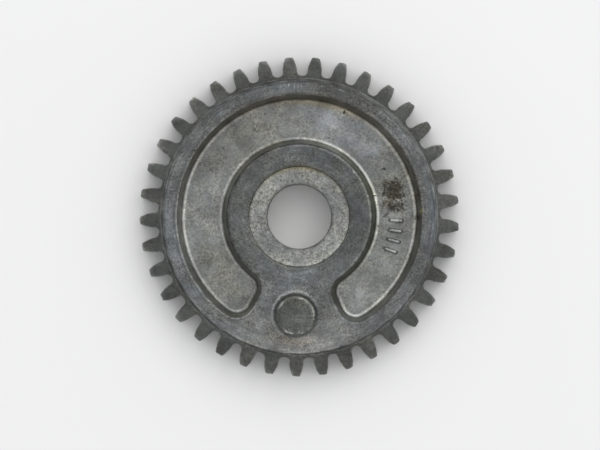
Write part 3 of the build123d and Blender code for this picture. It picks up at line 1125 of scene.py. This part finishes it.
# What is read of the noises and attributes, and what it becomes: from, to, start and end
reads = {
    "mottle": (0.36, 0.64, 0.82, 1.18),
    "grain": (0.3, 0.7, -0.34, 0.34),
    "grainPatches": (0.58, 0.40, 0.5, 1.05),
    "scuff": (0.35, 0.65, -0.13, 0.13),
    "speck": (0.42, 0.30),
    "fleck": (0.60, 0.70),
    "ragged": (0.3, 0.7, -0.35, 0.35),
    "mark": (1.0, 0.55),
    "streak": (0.3, 0.7, -0.22, 0.22),
    "streakPatches": (0.42, 0.60, 0.25, 1.0),
    "rubbedPatches": (0.35, 0.6, 0.4, 1.0),
    "soiledPatches": (0.65, 0.35, 0.5, 1.0),
    "tint": (0.35, 0.65),
    "stainGrain": (0.3, 0.7, -0.5, 0.5),
    "stain": (0.25, 0.80),
    "pit": (0.50, 0.58),
    "pitted": (0.15, 0.6),
    "rough": (0.3, 0.7, 0.45, 0.56),
    "bumpFine": (0.2, 0.8, 0.0, 1.0),
    "bumpMiddle": (0.2, 0.8, 0.0, 1.2),
}
gains = {"coarse": 1.25, "specks": 0.52, "flecks": 1.55, "rubbed": 1.7, "soiled": 0.62, "nicked": 2.1}
tints = {
    "warm": (1.022, 1.0, 0.965, 1),
    "cold": (0.985, 1.0, 1.022, 1),
    "stain": (0.32, 0.265, 0.175, 1),
    "pits": (0.17, 0.14, 0.10, 1),
    "dots": (0.02, 0.017, 0.012, 1),
}
cover = {"stain": 0.9, "pits": 0.85, "dots": 0.85}  # how much those tints cover
surface = {
    "metallic": (0.82, 0.25),  # clean and dull
    "stainDullness": 0.7,
    "rubbedRoughness": -0.10,
    "dullRoughness": 0.2,
    "bump": 0.007,  # millimetres
    "bumpStrength": 0.7,
    "bumpSpecks": -0.8,
    "bumpNicks": 0.8,
    "streaksAround": 4,  # waves of the streaks round the axis and for each millimetre from it
    "streaksAcross": 5.0,
}

place = addNode("TexCoord", {}).outputs["Object"]
perMetre = (1 / metre, 1 / metre, 1 / metre)
inMillimetres = addNode("Mapping", {"Vector": place, "Scale": perMetre}).outputs["Vector"]


# A noise at those coordinates, moved away from the others by its seed
def mottle(name, along=inMillimetres):
    rate, detail, rough, seed = noises[name]
    moved = addNode("Mapping", {"Vector": along, "Location": (seed, seed * 0.7, seed * 1.3)})
    inputs = {"Vector": moved.outputs["Vector"], "Scale": rate, "Detail": detail, "Roughness": rough}
    return addNode("TexNoise", inputs).outputs["Fac"]


# A small mark on the surface: 1 inside an ellipsoid at that place, turned and sized, and 0 outside
def stroke(x, y, height, turn, *size):
    inputs = {
        "Vector": place,
        "Location": (x * metre, y * metre, height * metre),
        "Rotation": (0, 0, math.radians(turn)),
        "Scale": tuple(width * metre / 2 for width in size),
    }
    local = addNode("Mapping", inputs, vector_type="TEXTURE").outputs["Vector"]
    return ranged(added(vectored("LENGTH", local), ranged(fineNoise, *reads["ragged"])), *reads["mark"])


# The strongest of several marks
def strongest(marks):
    total = stroke(*marks[0])
    for mark in marks[1:]:
        total = figured("MAXIMUM", total, stroke(*mark))
    return total


tone = addNode("Attribute", {}, attribute_name="tone").outputs["Color"]
worn, grains = readAttribute("worn"), readAttribute("grains")
broadNoise, middleNoise, fineNoise = mottle("broad"), mottle("middle"), mottle("fine")
speckNoise, fleckNoise, tintNoise = mottle("speck"), mottle("fleck"), mottle("tint")

# Marks: x, y, height, turn in degrees, and length, width and depth
darkDots = [
    (6.9, 10.3, faceHeight, 35, 1.1, 0.10, 0.6),
    (7.9, 9.7, faceHeight, 50, 0.9, 0.09, 0.6),
    (8.8, 9.2, faceHeight, -40, 1.4, 0.10, 0.6),
    (5.4, 11.2, faceHeight, -70, 0.9, 0.09, 0.6),
    (6.2, 10.9, faceHeight, -80, 1.1, 0.09, 0.6),
    (4.5, 11.7, faceHeight, 80, 0.5, 0.12, 0.6),
    (8.05, 4.98, floorHeight, 0, 0.46, 0.38, 0.6),
    (3.95, 10.25, floorHeight, 60, 0.46, 0.28, 0.6),
    (7.24, 2.33, floorHeight + 0.1, 18, 0.5, 0.16, 1.0),
    (7.65, -0.62, floorHeight + 0.1, -5, 0.5, 0.14, 1.0),
    (11.5, 2.5, floorHeight + 1.0, 12, 0.5, 0.42, 1.4),
    (11.48, 0.38, floorHeight + 0.7, 0, 0.44, 0.36, 1.2),
    (-4.6, 8.3, floorHeight, 20, 0.22, 0.16, 0.6),
]
# Light nicks and scratches, and painted glints along the rounded edge of the pin's end
nicksAndPinGlints = [
    (9.75, 2.06, floorHeight, 24, 0.85, 0.16, 0.6),
    (2.65, 12.74, faceHeight, 30, 0.38, 0.24, 0.6),
    (-1.5, 12.64, faceHeight, 100, 0.4, 0.18, 0.6),
    (-1.7, -4.65, hubHeight, -20, 0.6, 0.2, 0.6),
    # The strokes at the pin's end lie along its rounded edge and are painted highlight
    (-0.81, -11.05, pinHeight, -33, 0.70, 0.15, 0.8),
    (-0.32, -11.14, pinHeight, -10, 0.42, 0.17, 0.8),
    (0.40, -10.97, pinHeight, 70, 0.34, 0.14, 0.8),
    (0.68, -11.08, pinHeight, 25, 0.34, 0.14, 0.8),
    (1.36, -10.62, pinHeight, 40, 0.55, 0.10, 0.8),
    (-1.38, -8.47, pinHeight, 55, 0.80, 0.11, 0.8),
    (0.35, -7.80, pinHeight, -14, 0.60, 0.14, 0.8),
    (1.02, -8.16, pinHeight, -40, 0.42, 0.13, 0.8),
    (5.1, 4.5, faceHeight, -45, 0.4, 0.18, 0.6),
    (-0.6, 12.5, faceHeight, 88, 1.0, 0.07, 0.6),
    (-0.95, 12.45, faceHeight, 93, 0.9, 0.06, 0.6),
    (-0.3, 12.6, faceHeight, 90, 0.7, 0.06, 0.6),
    (7.3, 10.2, faceHeight, 42, 1.1, 0.10, 0.6),
    (8.2, 9.8, faceHeight, -42, 1.2, 0.09, 0.6),
    (3.6, 12.3, faceHeight, -20, 0.9, 0.12, 0.6),
    (-8.1, 9.6, faceHeight, 40, 1.0, 0.10, 0.6),
    (-9.2, 8.2, faceHeight, 48, 0.7, 0.12, 0.6),
    (11.0, 7.0, faceHeight, -55, 1.3, 0.09, 0.6),
    (10.4, 7.9, faceHeight, -48, 1.1, 0.07, 0.6),
    (-11.9, -2.4, faceHeight, 100, 0.8, 0.12, 0.6),
]
nicked = strongest(nicksAndPinGlints)
dotted = strongest(darkDots)

# Brightness: mottle, grain, scuffs, specks, flecks, rubbed edges with a painted highlight, dirty hollows
# with painted shade, nicks, and painted glints on the pin's end
level = multiplied(ranged(broadNoise, *reads["mottle"]), ranged(middleNoise, *reads["mottle"]))
grainy = multiplied(ranged(fineNoise, *reads["grain"]), ranged(tintNoise, *reads["grainPatches"]))
grainy = multiplied(grainy, between(grains["Z"], 1.0, gains["coarse"]))
scuffed = multiplied(ranged(mottle("scuff"), *reads["scuff"]), grains["Z"])
level = multiplied(level, added(added(grainy, scuffed), 1.0))
shown = {
    "specks": multiplied(ranged(speckNoise, *reads["speck"]), grains["X"]),
    "flecks": multiplied(ranged(fleckNoise, *reads["fleck"]), grains["Y"]),
    "rubbed": multiplied(worn["X"], ranged(middleNoise, *reads["rubbedPatches"])),
    "soiled": multiplied(worn["Y"], ranged(middleNoise, *reads["soiledPatches"])),
    "nicked": nicked,
}
for name, share in shown.items():
    level = multiplied(level, between(share, 1.0, gains[name]))

# Fine streaks round the axis, where the rim is rubbed: noise read along the direction from the axis
# and, much closer, along the distance from it
around, across = surface["streaksAround"], surface["streaksAcross"]
flatPlace = vectored("MULTIPLY", inMillimetres, (1, 1, 0))
heading = vectored("MULTIPLY", vectored("NORMALIZE", flatPlace), (around, around, 0))
lifted = addNode("CombineXYZ", {"Z": multiplied(vectored("LENGTH", flatPlace), across)}).outputs["Vector"]
streaks = ranged(mottle("streak", vectored("ADD", heading, lifted)), *reads["streak"])
streakShare = multiplied(grains["Z"], ranged(broadNoise, *reads["streakPatches"]))
level = multiplied(level, added(multiplied(streaks, streakShare), 1.0))

# Colour: the tone, warmer and colder by patches, times the brightness, then the stain and the dots
tinted = blended("MIX", ranged(tintNoise, *reads["tint"]), tints["warm"], tints["cold"])
colour = blended("MULTIPLY", 1.0, tone, tinted)
grey = addNode("CombineXYZ", {"X": level, "Y": level, "Z": level}).outputs["Vector"]
colour = blended("MULTIPLY", 1.0, colour, grey)
stainShare = added(worn["Z"], ranged(mottle("stain"), *reads["stainGrain"]))
stainShare = ranged(stainShare, *reads["stain"])
stainPits = multiplied(ranged(mottle("pit"), *reads["pit"]), ranged(worn["Z"], *reads["pitted"]))
colour = blended("MULTIPLY", between(stainShare, 0.0, cover["stain"]), colour, tints["stain"])
colour = blended("MULTIPLY", between(stainPits, 0.0, cover["pits"]), colour, tints["pits"])
colour = blended("MIX", between(dotted, 0.0, cover["dots"]), colour, tints["dots"])
tree.links.new(colour, shader.inputs["Base Color"])

# Gloss: stained and dotted places are dull, rubbed ones smoother
dull = multiplied(stainShare, surface["stainDullness"])
dull = figured("MAXIMUM", dull, figured("MAXIMUM", stainPits, dotted))
tree.links.new(between(dull, *surface["metallic"]), shader.inputs["Metallic"])
rough = ranged(middleNoise, *reads["rough"])
rough = added(rough, between(shown["rubbed"], 0.0, surface["rubbedRoughness"]))
dirty = figured("MAXIMUM", dull, shown["soiled"])
rough = added(rough, between(dirty, 0.0, surface["dullRoughness"]))
tree.links.new(rough, shader.inputs["Roughness"])

# Fine relief
height = added(ranged(fineNoise, *reads["bumpFine"]), ranged(middleNoise, *reads["bumpMiddle"]))
height = added(height, between(shown["specks"], 0.0, surface["bumpSpecks"]))
height = added(height, between(nicked, 0.0, surface["bumpNicks"]))
depth = {"Distance": surface["bump"] * metre, "Strength": surface["bumpStrength"]}
bump = addNode("Bump", {"Height": height, **depth})
tree.links.new(bump.outputs["Normal"], shader.inputs["Normal"])
castingMesh.materials.append(zinc)
print("material", len(tree.nodes), "nodes")

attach(casting, "root")
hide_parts("oscillating_gear")

# Bench, lights and camera
bench = {
    "half": 3.0,  # metres to each side
    "gap": 2e-5,  # metres below the gear
    "colour": (0.85, 0.845, 0.835, 1),
    "roughness": 0.9,
    "specular": 0.1,
}
floorMesh = bpy.data.meshes.new("benchTop")
half, low = bench["half"], -bench["gap"]
corners = [(-half, -half, low), (half, -half, low), (half, half, low), (-half, half, low)]
floorMesh.from_pydata(corners, [], [(0, 1, 2, 3)])
floorMesh.update()
floor = bpy.data.objects.new("benchTop", floorMesh)
bpy.context.scene.collection.objects.link(floor)
paper = bpy.data.materials.new("palePaper")
paper.use_nodes = True
paperShader = paper.node_tree.nodes["Principled BSDF"]
paperShader.inputs["Base Color"].default_value = bench["colour"]
paperShader.inputs["Roughness"].default_value = bench["roughness"]
paperShader.inputs["Specular IOR Level"].default_value = bench["specular"]
floorMesh.materials.append(paper)

studio = {"fill": 0.8, "seen": 1.0, "colour": (0.97, 0.98, 1.0, 1)}
world = bpy.data.worlds.new("studio")
world.use_nodes = True
sky = world.node_tree
background = sky.nodes["Background"]
background.inputs["Color"].default_value = studio["colour"]
rays = sky.nodes.new("ShaderNodeLightPath")
either = sky.nodes.new("ShaderNodeMath")
either.operation = "MAXIMUM"
sky.links.new(rays.outputs["Is Camera Ray"], either.inputs[0])
sky.links.new(rays.outputs["Is Glossy Ray"], either.inputs[1])
strength = sky.nodes.new("ShaderNodeMapRange")
strength.inputs["To Min"].default_value = studio["fill"]
strength.inputs["To Max"].default_value = studio["seen"]
sky.links.new(either.outputs[0], strength.inputs["Value"])
sky.links.new(strength.outputs["Result"], background.inputs["Strength"])
bpy.context.scene.world = world
bpy.context.scene.view_settings.view_transform = "Standard"

lamps = {"height": 0.42, "north": 0.22, "east": 0.08, "size": 0.5, "power": 0.96}
softBox = bpy.data.lights.new("softBox", "AREA")
softBox.shape = "SQUARE"
softBox.size = lamps["size"]
softBox.energy = lamps["power"]
lamp = bpy.data.objects.new("softBox", softBox)
lamp.location = (lamps["east"], lamps["north"], lamps["height"])
lamp.rotation_euler = lamp.location.to_track_quat("Z", "Y").to_euler()
bpy.context.scene.collection.objects.link(lamp)

photo = {
    "width": 600,
    "height": 450,
    "gearAt": (299.3, 216.8),  # pixel of the bore's axis
    "millimetreOfPixel": 0.09673,  # on the teeth's upper face
    "turn": 2.17,  # degrees that the gear is turned clockwise in the picture
    "distance": 300.0,  # from the teeth's upper face, in millimetres
    "sensor": 36,
    "seen": (0.01, 5),  # metres from the camera
}
camera = bpy.data.cameras.new("overheadCamera")
camera.sensor_width = photo["sensor"]
camera.lens = camera.sensor_width * photo["distance"] / (photo["width"] * photo["millimetreOfPixel"])
camera.dof.use_dof = False
camera.clip_start, camera.clip_end = photo["seen"]
turn = math.radians(photo["turn"])
right = (photo["width"] / 2 - photo["gearAt"][0]) * photo["millimetreOfPixel"]
up = (photo["gearAt"][1] - photo["height"] / 2) * photo["millimetreOfPixel"]
cameraX = right * math.cos(turn) - up * math.sin(turn)
cameraY = right * math.sin(turn) + up * math.cos(turn)
cameraObject = bpy.data.objects.new("overheadCamera", camera)
cameraObject.location = (cameraX * metre, cameraY * metre, (teeth["width"] + photo["distance"]) * metre)
cameraObject.rotation_euler = (0, 0, turn)
bpy.context.scene.collection.objects.link(cameraObject)
bpy.context.scene.camera = cameraObject

bpy.context.view_layer.update()
print("scene ready")
